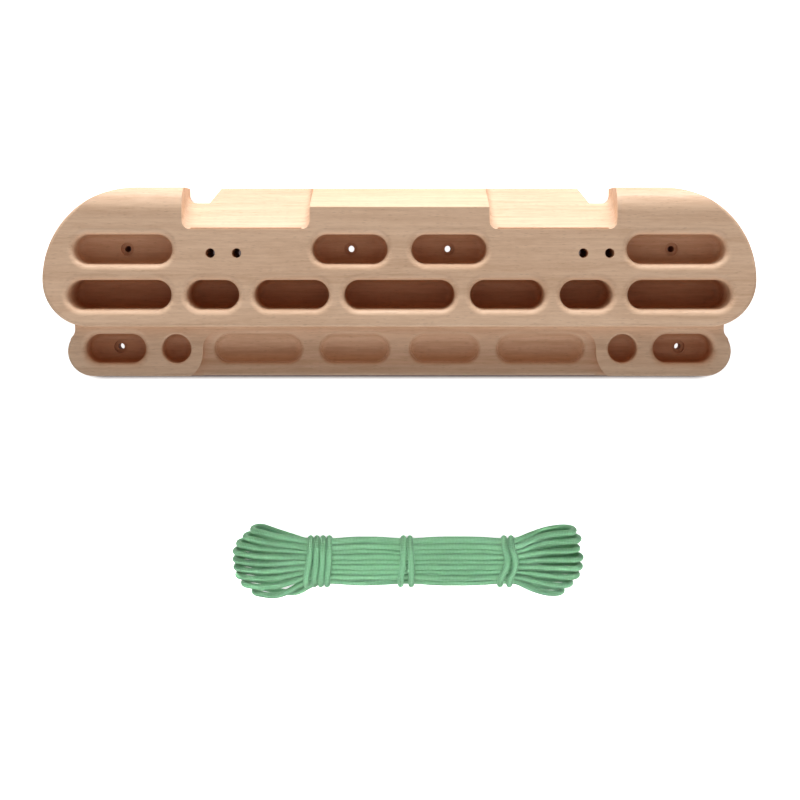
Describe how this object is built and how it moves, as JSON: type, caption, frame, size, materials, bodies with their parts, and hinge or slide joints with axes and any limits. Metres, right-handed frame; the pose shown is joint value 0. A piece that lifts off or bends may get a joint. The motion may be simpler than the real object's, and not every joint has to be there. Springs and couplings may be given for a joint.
{
  "type": "climbing training hangboard",
  "caption": "Wooden finger training board with rounded ends, sloping top holds, long and round finger pockets, screw and cord holes, and a bound hank of hanging cord beside it.",
  "frame": {"origin": "middle of the board's flat back face", "axes": "+X along the board's length, +Y towards the board's top edge, +Z out of the front face; the board lies on its back with the cord hank beside it on the same surface"},
  "size_m": [0.6, 0.36, 0.058],
  "materials": {
    "beech": "smooth sanded beech, unvarnished, with fine straight grain along the board and short dark flecks",
    "cord": "light green braided nylon cord, matt with a slight sheen"
  },
  "bodies": {
    "board": {"back_stave_low": "beech", "back_stave_mid": "beech", "back_stave_high": "beech", "middle_stave_low": "beech", "middle_stave_mid": "beech", "middle_stave_high": "beech", "front_stave_low": "beech", "front_stave_high": "beech"},
    "hank": {"cord_hank": "cord"}
  },
  "joints": [
    {"name": "hank_lift", "type": "slide", "parent": "board", "child": "hank", "axis": [0, 0, 1], "range_m": [0, 0.3]}
  ]
}
